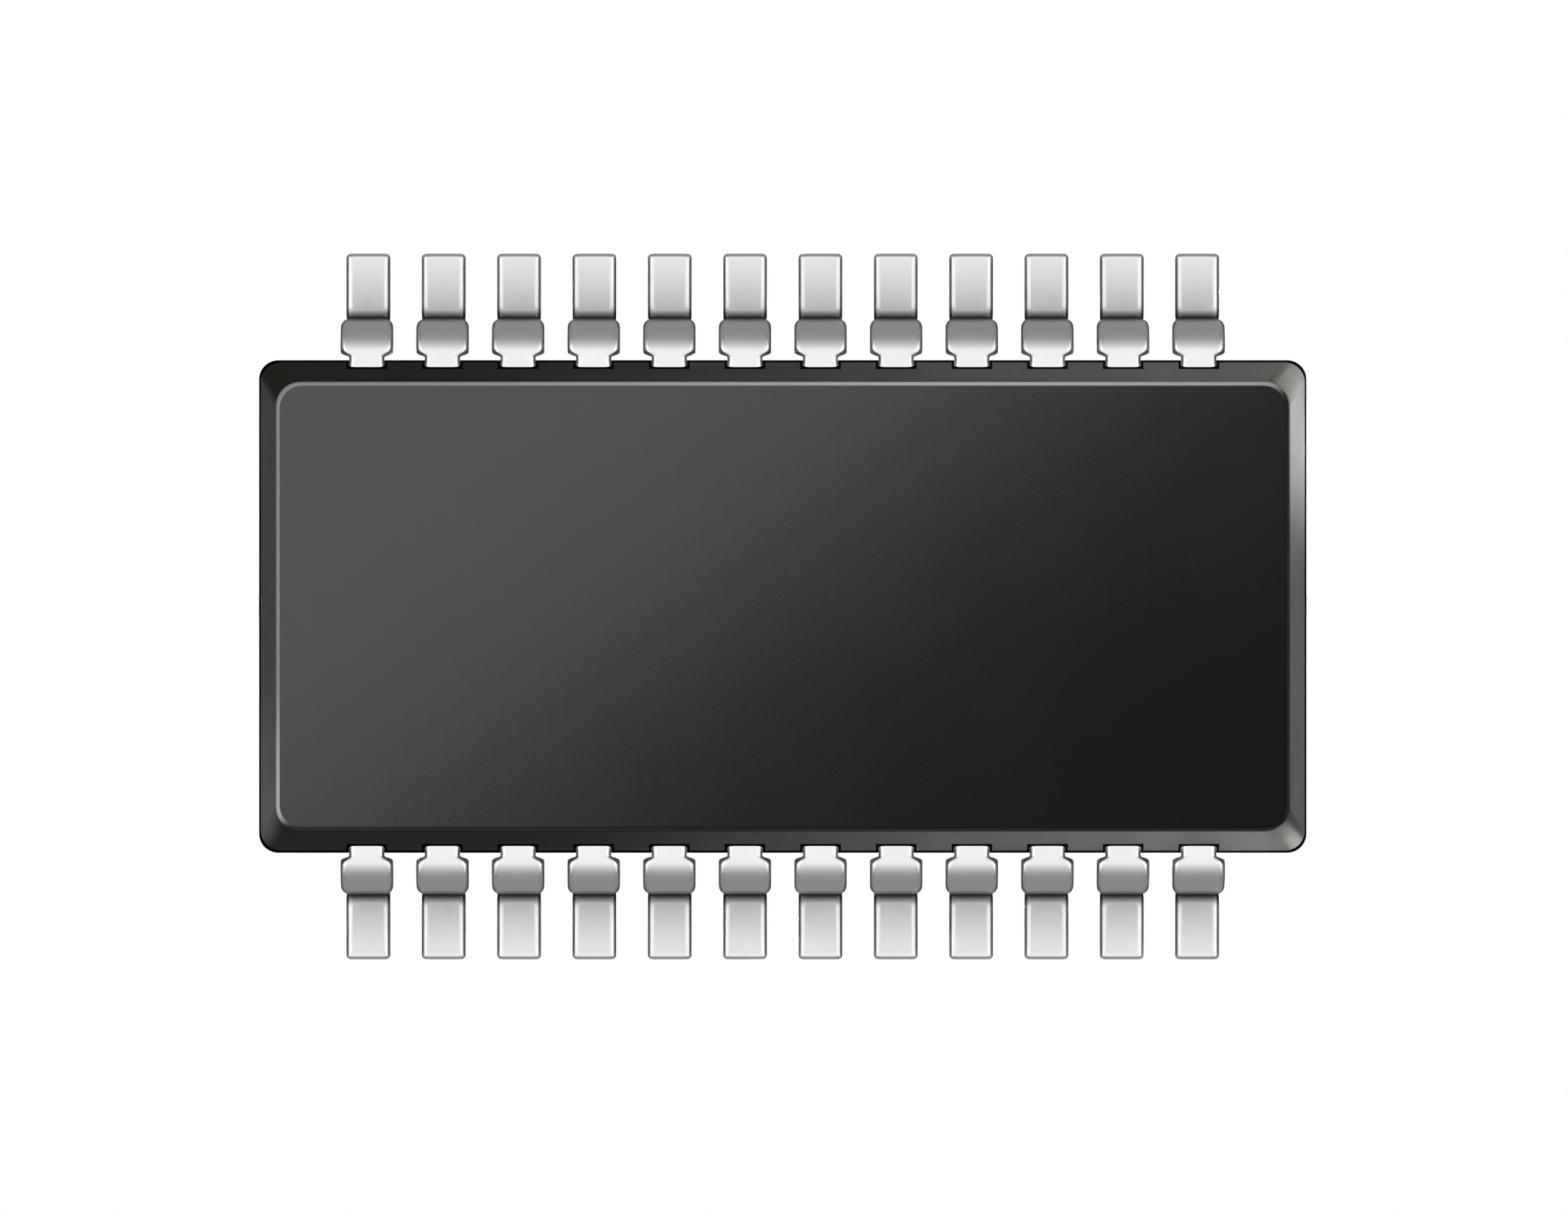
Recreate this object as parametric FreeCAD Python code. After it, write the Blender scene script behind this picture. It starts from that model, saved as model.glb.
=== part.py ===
import FreeCAD, Part
import math
import os

from FreeCAD import Vector

# A moulded integrated circuit with two rows of gull-wing leads, as it lies on a circuit board.
# Sizes are in millimetres and angles in degrees. The origin is the centre of the seating plane,
# X runs along the body, Y across it to the rows of leads, and Z points up.

# Moulded body
BODY_LENGTH = 8.80
BODY_WIDTH = 4.14
UPPER_HEIGHT = 0.64
LOWER_HEIGHT = 0.72
STANDOFF = 0.12
END_DRAFT = 13.8
SIDE_DRAFT = 16.8
CORNER_RADIUS = 0.175
RIM_CHAMFER = 0.03
EJECTOR_MARK_DIAMETER = 0.80
EJECTOR_MARK_DEPTH = 0.02
EJECTOR_MARK_SPACING = 5.20

# Lead frame: the leads and the die paddle are stamped from one sheet
LEADS_PER_ROW = 12
LEAD_PITCH = 0.635
FRAME_THICKNESS = 0.20

# Outer lead, from the body to the tip of the foot
NECK_WIDTH = 0.28
SHOULDER_RUN = 0.03
SHOULDER_SETBACK = 0.02
SHOULDER_WIDTH = 0.44
SHOULDER_CHAMFER = 0.065
UPPER_BEND_RADIUS = 0.10
LEG_ANGLE = 88.0
LOWER_BEND_RADIUS = 0.05
FOOT_WIDTH = 0.365
FOOT_LENGTH = 0.505
FOOT_TIP_CHAMFER = 0.02

# Inner lead, from the body wall to the finger tip beside the paddle
ROOT_WIDTH = 0.30
ROOT_DEPTH = 0.32
ROOT_FLARE = 0.07
FINGER_TIP_WIDTH = 0.15
FINGER_TIP_PITCH = 0.356
FINGER_CLEARANCE = 0.22
CORNER_FINGER_ADVANCE = 0.16
END_FINGER_ADVANCE = 0.60
END_FINGER_CLEARANCE = 0.40

# Die paddle with its two tie bars
PADDLE_LENGTH = 2.70
PADDLE_WIDTH = 1.60
PADDLE_DOWNSET = 0.15
TIE_BAR_WIDTH = 0.30
TIE_BAR_FLAT = 0.35
TIE_BAR_RAMP = 0.25
TIE_BAR_CUT_WIDTH = 0.18
TIE_BAR_CUT_THICKNESS = 0.10
TIE_BAR_CUT_LENGTH = 0.22

# Silicon die and the adhesive under it
DIE_LENGTH = 1.90
DIE_WIDTH = 1.15
DIE_THICKNESS = 0.28
ATTACH_THICKNESS = 0.03
ATTACH_FILLET = 0.04

# Bond wires, drawn with six flats, each from a ball on the die to the tip of a finger
WIRE_DIAMETER = 0.025
WIRE_FLATS = 6
LOOP_HEIGHT = 0.11
BALL_DIAMETER = 0.065
BALL_HEIGHT = 0.018
PAD_PITCH = 0.15
PAD_EDGE_DISTANCE = 0.08
STITCH_DISTANCE = 0.09
LOOP_SHOULDER_SHARE = 0.45

# Heights that follow from the sizes above
PARTING_Z = STANDOFF + LOWER_HEIGHT
TOP_Z = PARTING_Z + UPPER_HEIGHT
FRAME_TOP_Z = PARTING_Z + FRAME_THICKNESS
PADDLE_Z = PARTING_Z - PADDLE_DOWNSET
ATTACH_Z = PADDLE_Z + FRAME_THICKNESS
DIE_Z = ATTACH_Z + ATTACH_THICKNESS
DIE_TOP_Z = DIE_Z + DIE_THICKNESS


def nearest_edges(shape, points):
    """Pick the edge of the shape whose middle lies nearest to each point."""
    return [
        min(shape.Edges, key=lambda edge: edge.CenterOfMass.distanceToPoint(point))
        for point in points
    ]


def prism(points, direction):
    """Extrude the closed outline through the points along a direction."""
    outline = Part.makePolygon(list(points) + [points[0]])
    return Part.Face(outline).extrude(direction)


def level_edges(shape, z):
    """Return the edges of the shape that lie wholly at one height."""
    return [
        edge
        for edge in shape.Edges
        if abs(edge.BoundBox.ZMin - z) < 1e-6 and abs(edge.BoundBox.ZMax - z) < 1e-6
    ]


def drafted_half(height, facing):
    """Return the half of the body above (facing 1) or below (facing -1) the parting plane."""
    half_length = BODY_LENGTH / 2
    half_width = BODY_WIDTH / 2
    face_length = half_length - height * math.tan(math.radians(END_DRAFT))
    face_width = half_width - height * math.tan(math.radians(SIDE_DRAFT))
    half = Part.makeWedge(
        -half_length, 0, -half_width, -face_width, -face_length,
        half_length, height, half_width, face_width, face_length,
    )
    half.rotate(Vector(0, 0, 0), Vector(1, 0, 0), 90 * facing)
    corners = [edge for edge in half.Edges if edge.BoundBox.ZLength > height / 2]
    half = half.makeFillet(CORNER_RADIUS, corners)
    half = half.makeChamfer(RIM_CHAMFER, level_edges(half, facing * height))
    half.translate(Vector(0, 0, PARTING_Z))
    return half


def body_hull():
    """Return the outside of the moulded body, with bevelled rims and ejector marks below."""
    hull = drafted_half(UPPER_HEIGHT, 1).fuse(drafted_half(LOWER_HEIGHT, -1)).removeSplitter()
    for side in (-1, 1):
        mark = Part.makeCylinder(
            EJECTOR_MARK_DIAMETER / 2,
            EJECTOR_MARK_DEPTH,
            Vector(side * EJECTOR_MARK_SPACING / 2, 0, STANDOFF),
        )
        hull = hull.cut(mark)
    return hull


def bend(centre, inner_radius, start, stop, width, facing):
    """Bend the strip about an X axis at centre. Angles are from the vertical, in radians.

    facing is 1 where the strip turns down over the axis, and -1 where it turns out under it.
    """
    outer_radius = inner_radius + FRAME_THICKNESS
    middle = (start + stop) / 2

    def at(radius, angle):
        return centre + Vector(0, math.sin(angle), math.cos(angle)) * (facing * radius)

    edges = [
        Part.Arc(*[at(outer_radius, angle) for angle in (start, middle, stop)]).toShape(),
        Part.makeLine(at(outer_radius, stop), at(inner_radius, stop)),
        Part.Arc(*[at(inner_radius, angle) for angle in (stop, middle, start)]).toShape(),
        Part.makeLine(at(inner_radius, start), at(outer_radius, start)),
    ]
    section = Part.Face(Part.Wire(edges))
    section.translate(Vector(-width / 2, 0, 0))
    return section.extrude(Vector(width, 0, 0))


def flat_part(tip, bend_y):
    """Return the inner finger, the root in the body wall and the neck, as one flat outline."""
    wall_y = BODY_WIDTH / 2
    root_y = wall_y - ROOT_DEPTH
    run = tip - Vector(0, root_y, 0)
    across = Vector(-run.y, run.x, 0).normalize() * (FINGER_TIP_WIDTH / 2)
    points = [
        Vector(-NECK_WIDTH / 2, bend_y, 0),
        Vector(-NECK_WIDTH / 2, wall_y, 0),
        Vector(-ROOT_WIDTH / 2, wall_y - ROOT_FLARE, 0),
        Vector(-ROOT_WIDTH / 2, root_y, 0),
        tip - across,
        tip + across,
        Vector(ROOT_WIDTH / 2, root_y, 0),
        Vector(ROOT_WIDTH / 2, wall_y - ROOT_FLARE, 0),
        Vector(NECK_WIDTH / 2, wall_y, 0),
        Vector(NECK_WIDTH / 2, bend_y, 0),
    ]
    outline = [point + Vector(0, 0, PARTING_Z) for point in points]
    return prism(outline, Vector(0, 0, FRAME_THICKNESS))


def leg(top, down, outward, length):
    """Return the steep leg, which tapers from the wide shoulder to the width of the foot."""
    bottom = top + down * length
    outline = [
        top + Vector(SHOULDER_WIDTH / 2, 0, 0),
        bottom + Vector(FOOT_WIDTH / 2, 0, 0),
        bottom - Vector(FOOT_WIDTH / 2, 0, 0),
        top - Vector(SHOULDER_WIDTH / 2, 0, 0),
    ]
    return prism(outline, outward * FRAME_THICKNESS)


def foot(heel_y):
    """Return the flat foot with the cropped corners of its tip."""
    half = FOOT_WIDTH / 2
    tip_y = heel_y + FOOT_LENGTH
    right = [
        Vector(half, heel_y, 0),
        Vector(half, tip_y - FOOT_TIP_CHAMFER, 0),
        Vector(half - FOOT_TIP_CHAMFER, tip_y, 0),
    ]
    left = [Vector(-point.x, point.y, 0) for point in reversed(right)]
    return prism(right + left, Vector(0, 0, FRAME_THICKNESS))


def lead(tip):
    """Form one lead of the back row, on the plane X = 0, from its finger tip to its foot."""
    angle = math.radians(LEG_ANGLE)
    outward = Vector(0, math.sin(angle), math.cos(angle))
    down = Vector(0, math.cos(angle), -math.sin(angle))
    outer_radius = UPPER_BEND_RADIUS + FRAME_THICKNESS
    bend_y = BODY_WIDTH / 2 + SHOULDER_RUN
    upper = Vector(0, bend_y, PARTING_Z - UPPER_BEND_RADIUS)
    drop = upper.z + (outer_radius + LOWER_BEND_RADIUS) * outward.z
    leg_length = (drop - FRAME_THICKNESS - LOWER_BEND_RADIUS) / math.sin(angle)
    lower = upper + outward * (outer_radius + LOWER_BEND_RADIUS) + down * leg_length
    widening = SHOULDER_SETBACK / outer_radius
    pieces = [
        flat_part(tip, bend_y),
        bend(upper, UPPER_BEND_RADIUS, 0, widening, NECK_WIDTH, 1),
        bend(upper, UPPER_BEND_RADIUS, widening, angle, SHOULDER_WIDTH, 1),
        leg(upper + outward * UPPER_BEND_RADIUS, down, outward, leg_length),
        bend(lower, LOWER_BEND_RADIUS, 0, angle, FOOT_WIDTH, -1),
        foot(lower.y),
    ]
    solid = pieces[0].fuse(pieces[1:]).removeSplitter()
    middle = upper + Vector(0, math.sin(widening), math.cos(widening)) * (
        UPPER_BEND_RADIUS + FRAME_THICKNESS / 2
    )
    corners = [middle + Vector(side * SHOULDER_WIDTH / 2, 0, 0) for side in (-1, 1)]
    return solid.makeChamfer(SHOULDER_CHAMFER, nearest_edges(solid, corners))


def finger_tip(index):
    """Return where a finger of the back row ends, and at which X its lead stands."""
    x = (index - (LEADS_PER_ROW - 1) / 2) * LEAD_PITCH
    side = math.copysign(1, x)
    place = int(abs(x) / LEAD_PITCH)
    last = LEADS_PER_ROW // 2 - 1
    row_y = PADDLE_WIDTH / 2 + FINGER_CLEARANCE
    end_x = PADDLE_LENGTH / 2 + END_FINGER_CLEARANCE
    if place == last:
        return x, Vector(side * end_x, row_y - END_FINGER_ADVANCE, 0)
    if place == last - 1:
        return x, Vector(side * (end_x - CORNER_FINGER_ADVANCE), row_y - CORNER_FINGER_ADVANCE, 0)
    return x, Vector(side * (place + 0.5) * FINGER_TIP_PITCH, row_y, 0)


def die_paddle(hull):
    """Return the paddle with a tie bar at each end, cut off flush with the body."""
    size = (PADDLE_LENGTH, PADDLE_WIDTH, FRAME_THICKNESS)
    paddle = Part.makeBox(*size, Vector(-size[0] / 2, -size[1] / 2, PADDLE_Z))
    ramp_x = PADDLE_LENGTH / 2 + TIE_BAR_FLAT
    crest_x = ramp_x + TIE_BAR_RAMP
    cut_x = BODY_LENGTH / 2 - TIE_BAR_CUT_LENGTH
    profile = [
        (0, PADDLE_Z),
        (ramp_x, PADDLE_Z),
        (crest_x, PARTING_Z),
        (cut_x, PARTING_Z),
        (cut_x, FRAME_TOP_Z),
        (crest_x, FRAME_TOP_Z),
        (ramp_x, ATTACH_Z),
        (0, ATTACH_Z),
    ]
    bars = []
    for side in (-1, 1):
        outline = [Vector(side * x, -TIE_BAR_WIDTH / 2, z) for x, z in profile]
        bars.append(prism(outline, Vector(0, TIE_BAR_WIDTH, 0)))
        start_x = cut_x if side > 0 else -cut_x - 2 * TIE_BAR_CUT_LENGTH
        neck = Part.makeBox(
            2 * TIE_BAR_CUT_LENGTH,
            TIE_BAR_CUT_WIDTH,
            TIE_BAR_CUT_THICKNESS,
            Vector(start_x, -TIE_BAR_CUT_WIDTH / 2, PARTING_Z),
        )
        bars.append(neck.common(hull))
    return paddle.fuse(bars).removeSplitter()


def block_on_paddle(length, width, thickness, z):
    """Return a block centred on the paddle."""
    return Part.makeBox(length, width, thickness, Vector(-length / 2, -width / 2, z))


def bond_wire(pad, stitch):
    """Return the ball on the die's pad and the wire that loops from it to the stitch."""
    rise = pad + Vector(0, 0, BALL_HEIGHT)
    crest = pad + Vector(0, 0, LOOP_HEIGHT)
    shoulder = crest + (Vector(stitch.x, stitch.y, crest.z) - crest) * LOOP_SHOULDER_SHARE
    path = [rise, crest, shoulder, stitch]
    plane_across = Vector(stitch.y - pad.y, pad.x - stitch.x, 0).normalize()
    vertical = Vector(0, 0, 1)
    steps = [(b - a).normalize() for a, b in zip(path, path[1:])]
    normals = [vertical] + [(a + b).normalize() for a, b in zip(steps, steps[1:])] + [vertical]
    rings = []
    for point, normal, step in zip(path, normals, [steps[0]] + steps):
        upward = plane_across.cross(step)
        ring = []
        for flat in range(WIRE_FLATS):
            turn = 2 * math.pi * flat / WIRE_FLATS
            spoke = plane_across * math.cos(turn) + upward * math.sin(turn)
            spoke = spoke * (WIRE_DIAMETER / 2)
            ring.append(point + spoke - step * (spoke.dot(normal) / step.dot(normal)))
        rings.append(ring)
    faces = [Part.Face(Part.makePolygon(ring + [ring[0]])) for ring in (rings[0], rings[-1])]
    for near, far in zip(rings, rings[1:]):
        for flat in range(WIRE_FLATS):
            after = (flat + 1) % WIRE_FLATS
            corners = [near[flat], near[after], far[after], far[flat], near[flat]]
            faces.append(Part.Face(Part.makePolygon(corners)))
    wire = Part.Solid(Part.Shell(faces))
    if wire.Volume < 0:
        wire.reverse()
    spokes = [2 * math.pi * flat / WIRE_FLATS for flat in range(WIRE_FLATS)]
    ball = prism(
        [pad + Vector(math.cos(a), math.sin(a), 0) * (BALL_DIAMETER / 2) for a in spokes],
        Vector(0, 0, BALL_HEIGHT),
    )
    return ball.fuse(wire).removeSplitter()


def row_pieces(index):
    """Return the lead of the back row at this place and the bond wire that reaches it."""
    x, tip = finger_tip(index)
    local_tip = tip - Vector(x, 0, 0)
    solid = lead(local_tip)
    solid.translate(Vector(x, 0, 0))
    root = Vector(x, BODY_WIDTH / 2 - ROOT_DEPTH, 0)
    stitch = tip + (root - tip).normalize() * STITCH_DISTANCE + Vector(0, 0, FRAME_TOP_Z)
    pad_x = (index - (LEADS_PER_ROW - 1) / 2) * PAD_PITCH
    pad = Vector(pad_x, DIE_WIDTH / 2 - PAD_EDGE_DISTANCE, DIE_TOP_Z)
    return solid, bond_wire(pad, stitch)


def turned(shape):
    """Return a copy turned half a turn about Z, for the front row."""
    copy = shape.copy()
    copy.rotate(Vector(0, 0, 0), Vector(0, 0, 1), 180)
    return copy


def build():
    """Return every piece by name. Leads count anticlockwise from the front left corner."""
    hull = body_hull()
    pieces = {}
    for index in range(LEADS_PER_ROW):
        solid, wire = row_pieces(index)
        front_number = LEADS_PER_ROW - index
        back_number = 2 * LEADS_PER_ROW - index
        pieces[f"lead_{back_number:02d}"] = solid
        pieces[f"bond_wire_{back_number:02d}"] = wire
        pieces[f"lead_{front_number:02d}"] = turned(solid)
        pieces[f"bond_wire_{front_number:02d}"] = turned(wire)
    pieces["die_paddle"] = die_paddle(hull)
    pieces["die_attach"] = block_on_paddle(
        DIE_LENGTH + 2 * ATTACH_FILLET,
        DIE_WIDTH + 2 * ATTACH_FILLET,
        ATTACH_THICKNESS,
        ATTACH_Z,
    )
    pieces["silicon_die"] = block_on_paddle(DIE_LENGTH, DIE_WIDTH, DIE_THICKNESS, DIE_Z)
    pieces["mould_body"] = hull.cut(list(pieces.values()))
    return pieces


def main():
    """Write one STEP file for each piece."""
    os.makedirs("parts", exist_ok=True)
    for name, shape in sorted(build().items()):
        solid = shape.Solids[0] if len(shape.Solids) == 1 else shape
        solid.exportStep(f"parts/{name}.step")
        print(f"{name}: {len(shape.Solids)} solid, {solid.Volume:.6f} mm3")


main()
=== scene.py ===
"""The looks of a voice chip: a moulded body with two rows of tin-plated gull-wing leads.

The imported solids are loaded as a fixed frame. Finer meshes stand for the body and the leads,
the sealed inner pieces keep their solids, and every piece gets its own finish. Sizes in the
classes are in millimetres, and the meshes are in metres.
"""

import logging
import math
from dataclasses import dataclass, field
from enum import Enum

import bmesh
import bpy
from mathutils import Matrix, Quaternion, Vector


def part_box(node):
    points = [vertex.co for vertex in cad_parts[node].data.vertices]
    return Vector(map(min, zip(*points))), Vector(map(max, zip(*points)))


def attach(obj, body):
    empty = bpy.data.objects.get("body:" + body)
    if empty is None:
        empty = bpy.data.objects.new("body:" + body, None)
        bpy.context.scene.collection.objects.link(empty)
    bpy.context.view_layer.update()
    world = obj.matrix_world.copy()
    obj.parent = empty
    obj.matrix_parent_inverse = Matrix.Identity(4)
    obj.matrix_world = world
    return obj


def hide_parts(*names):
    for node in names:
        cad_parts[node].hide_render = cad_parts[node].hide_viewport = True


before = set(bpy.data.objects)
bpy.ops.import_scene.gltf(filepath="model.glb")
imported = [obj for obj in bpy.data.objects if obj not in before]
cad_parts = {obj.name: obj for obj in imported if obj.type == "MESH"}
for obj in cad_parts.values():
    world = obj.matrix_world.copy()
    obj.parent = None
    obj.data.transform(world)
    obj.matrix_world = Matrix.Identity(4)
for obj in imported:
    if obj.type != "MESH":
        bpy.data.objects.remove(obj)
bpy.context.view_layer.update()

log = logging.getLogger("voice_chip")

MM = 0.001
PHOTO_WIDTH = 2184

LEADS_PER_ROW = 12
LEAD_PITCH = 0.635
FRAME_THICKNESS = 0.20
LEAD_SHARP_ANGLE = 50.0
BODY_SHARP_ANGLE = 32.0
MERGE_DISTANCE = 1e-9
NOISE_RANGE = (0.3, 0.7)
SCUFF_RANGE = (0.66, 0.78)
SCUFF_TURN = 0.6

Colour = tuple[float, float, float]
Place = tuple[float, float, float]
Point = tuple[float, float]
Node = bpy.types.Node
Socket = bpy.types.NodeSocket
Vertex = bmesh.types.BMVert

BLACK: Colour = (0.0, 0.0, 0.0)
WHITE: Colour = (1.0, 1.0, 1.0)
CARD_WHITE: Colour = (1.0, 0.985, 0.95)
CARD_HEIGHT = 0.03
CARD_AIM = 9.0


class Row(Enum):
    """The two rows of leads. The value is the sign of the row's Y."""

    FRONT = -1
    BACK = 1


class Slot(Enum):
    """The material slots of the pieces that are replaced."""

    COMPOUND = "mould_compound"
    TIN = "tinned_lead"


def smooth_step(share: float) -> float:
    """Ease a share between 0 and 1 at both ends.

    Args:
        share: The position along the change.

    Returns:
        The eased share.
    """
    held = min(max(share, 0.0), 1.0)
    return held * held * (3.0 - 2.0 * held)


def blend(start: float, stop: float, share: float) -> float:
    """Return the value at a share of the way from start to stop."""
    return start + (stop - start) * share


class NodePlan:
    """A small helper that adds and joins nodes in a tree.

    Args:
        tree: The node tree of a material, a world or a group.
    """

    def __init__(self, tree: bpy.types.NodeTree) -> None:
        """Start from an empty tree."""
        self.tree = tree
        self.tree.nodes.clear()

    def add(self, kind: str, **inputs: object) -> Node:
        """Add a node and fill its inputs.

        Args:
            kind: The node's type name.
            **inputs: Values or sockets by input name, with spaces written as underscores.

        Returns:
            The new node.
        """
        node = self.tree.nodes.new(kind)
        for name, value in inputs.items():
            self.feed(node.inputs[name.replace("_", " ")], value)
        return node

    def feed(self, socket: Socket, value: object) -> None:
        """Link a socket to an input, or set the input's own value.

        Args:
            socket: The input.
            value: The value, or the socket to link.
        """
        if isinstance(value, bpy.types.NodeSocket):
            self.tree.links.new(value, socket)
        else:
            socket.default_value = value

    def sum_up(self, operation: str, first: object, second: object = 0.0) -> Socket:
        """Add a math node.

        Args:
            operation: The name of the operation.
            first: The first value or socket.
            second: The second value or socket.

        Returns:
            The result's socket.
        """
        node = self.tree.nodes.new("ShaderNodeMath")
        node.operation = operation
        self.feed(node.inputs[0], first)
        self.feed(node.inputs[1], second)
        return node.outputs[0]

    def times(self, first: object, second: object) -> Socket:
        """Multiply two values or sockets."""
        return self.sum_up("MULTIPLY", first, second)

    def stretch(self, vector: Socket, x: object, y: object, z: object) -> Socket:
        """Multiply a vector by three values or sockets.

        Args:
            vector: The vector's socket.
            x: The factor along X.
            y: The factor along Y.
            z: The factor along Z.

        Returns:
            The stretched vector's socket.
        """
        factors = self.add("ShaderNodeCombineXYZ", X=x, Y=y, Z=z)
        node = self.tree.nodes.new("ShaderNodeVectorMath")
        node.operation = "MULTIPLY"
        self.feed(node.inputs[0], vector)
        self.feed(node.inputs[1], factors.outputs[0])
        return node.outputs[0]

    def parts(self, kind: str) -> bpy.types.NodeOutputs:
        """Return the X, Y and Z of a texture coordinate, such as Object or Normal."""
        vector = self.add("ShaderNodeTexCoord").outputs[kind]
        return self.add("ShaderNodeSeparateXYZ", Vector=vector).outputs

    def span(self, value: Socket, low: float, high: float, to_low: float, to_high: float) -> Socket:
        """Map a value from one range to another, held at the ends.

        Args:
            value: The socket to map.
            low: The lower end of the range it comes from.
            high: The upper end of that range.
            to_low: The result at the lower end.
            to_high: The result at the upper end.

        Returns:
            The mapped value's socket.
        """
        node = self.tree.nodes.new("ShaderNodeMapRange")
        node.interpolation_type = "SMOOTHSTEP"
        for socket, item in zip(node.inputs, (value, low, high, to_low, to_high)):
            self.feed(socket, item)
        return node.outputs["Result"]

    def span_mm(self, value: Socket, stretch: Point, to_low: float, to_high: float) -> Socket:
        """Map a length over a stretch that is given in millimetres, held at its ends."""
        return self.span(value, stretch[0] * MM, stretch[1] * MM, to_low, to_high)

    def mix_colour(self, factor: object, first: object, second: object) -> Socket:
        """Mix two colours.

        Args:
            factor: The share of the second colour.
            first: The colour or socket at 0.
            second: The colour or socket at 1.

        Returns:
            The mixed colour's socket.
        """
        node = self.tree.nodes.new("ShaderNodeMix")
        node.data_type = "RGBA"
        self.feed(node.inputs["Factor"], factor)
        for socket, item in ((node.inputs[6], first), (node.inputs[7], second)):
            self.feed(socket, (*item, 1.0) if isinstance(item, tuple) else item)
        return node.outputs[2]


def new_group(
    name: str, inputs: dict[str, float], outputs: tuple[str, ...]
) -> tuple[NodePlan, Node, Node]:
    """Make an empty shader node group with float sockets.

    Args:
        name: The group's name.
        inputs: The input names with their values.
        outputs: The output names.

    Returns:
        The plan of the group's tree, its input node and its output node.
    """
    tree = bpy.data.node_groups.new(name, "ShaderNodeTree")
    for socket_name, value in inputs.items():
        made = tree.interface.new_socket(socket_name, in_out="INPUT", socket_type="NodeSocketFloat")
        made.default_value = value
    for socket_name in outputs:
        tree.interface.new_socket(socket_name, in_out="OUTPUT", socket_type="NodeSocketFloat")
    plan = NodePlan(tree)
    return plan, tree.nodes.new("NodeGroupInput"), tree.nodes.new("NodeGroupOutput")


def build_grain_group() -> bpy.types.NodeTree:
    """Make the grain that every finish uses: fine noise over a slow mottle.

    Returns:
        A group with the inputs Grain and Mottle, in cycles per metre, and Stretch along Y. Its
        outputs Fine and Broad lie between 0 and 1.
    """
    plan, given, result = new_group(
        "surface_grain",
        {"Grain": 40000.0, "Mottle": 1500.0, "Stretch": 1.0},
        ("Fine", "Broad"),
    )
    place = plan.add("ShaderNodeTexCoord").outputs["Object"]
    drawn = plan.stretch(place, 1.0, given.outputs["Stretch"], 1.0)
    fine = plan.add("ShaderNodeTexNoise", Vector=drawn, Scale=given.outputs["Grain"], Detail=3.0)
    broad = plan.add("ShaderNodeTexNoise", Vector=place, Scale=given.outputs["Mottle"], Detail=2.0)
    plan.feed(result.inputs["Fine"], plan.span(fine.outputs[0], *NOISE_RANGE, 0.0, 1.0))
    plan.feed(result.inputs["Broad"], plan.span(broad.outputs[0], *NOISE_RANGE, 0.0, 1.0))
    return plan.tree


def build_scuff_group() -> bpy.types.NodeTree:
    """Make the faint scuffs of handling and of the placement machine.

    Returns:
        A group with the inputs Length and Width, in cycles per metre, and Amount. Its output
        Mask is 1 on a scuff.
    """
    plan, given, result = new_group(
        "fine_scuffs", {"Length": 700.0, "Width": 26000.0, "Amount": 0.5}, ("Mask",)
    )
    place = plan.add("ShaderNodeTexCoord").outputs["Object"]
    turned = plan.add("ShaderNodeMapping", Vector=place, Rotation=(0.0, 0.0, SCUFF_TURN)).outputs[0]
    length, width = given.outputs["Length"], given.outputs["Width"]
    drawn = plan.stretch(turned, length, width, width)
    noise = plan.add("ShaderNodeTexNoise", Vector=drawn, Scale=1.0, Detail=1.0)
    streak = plan.span(noise.outputs[0], *SCUFF_RANGE, 0.0, 1.0)
    plan.feed(result.inputs["Mask"], plan.times(streak, given.outputs["Amount"]))
    return plan.tree


class Effects:
    """The shader node groups that the finishes share, built once."""

    def __init__(self) -> None:
        """Build the groups."""
        self.grain = build_grain_group()
        self.scuffs = build_scuff_group()

    def place(self, plan: NodePlan, tree: bpy.types.NodeTree, **values: float) -> Node:
        """Place a group in a material.

        Args:
            plan: The plan of the material's tree.
            tree: The group to place.
            **values: The group's input values by name.

        Returns:
            The group's node.
        """
        node = plan.tree.nodes.new("ShaderNodeGroup")
        node.node_tree = tree
        for name, value in values.items():
            node.inputs[name].default_value = value
        return node


def new_material(name: str) -> tuple[bpy.types.Material, NodePlan, Node]:
    """Make a material with one Principled BSDF.

    Args:
        name: The material's name.

    Returns:
        The material, the plan of its tree and its shader node.
    """
    material = bpy.data.materials.new(name)
    material.use_nodes = True
    plan = NodePlan(material.node_tree)
    shader = plan.add("ShaderNodeBsdfPrincipled")
    plan.add("ShaderNodeOutputMaterial", Surface=shader.outputs[0])
    return material, plan, shader


def add_bump(plan: NodePlan, shader: Node, height: Socket, depth_mm: float, strength: float) -> None:
    """Give a shader a bump.

    Args:
        plan: The plan of the material's tree.
        shader: The Principled BSDF.
        height: The socket of the height, between 0 and 1.
        depth_mm: How deep the bump is.
        strength: The share of the bump that shows.
    """
    bump = plan.add("ShaderNodeBump", Height=height, Distance=depth_mm * MM, Strength=strength)
    plan.feed(shader.inputs["Normal"], bump.outputs[0])


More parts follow.
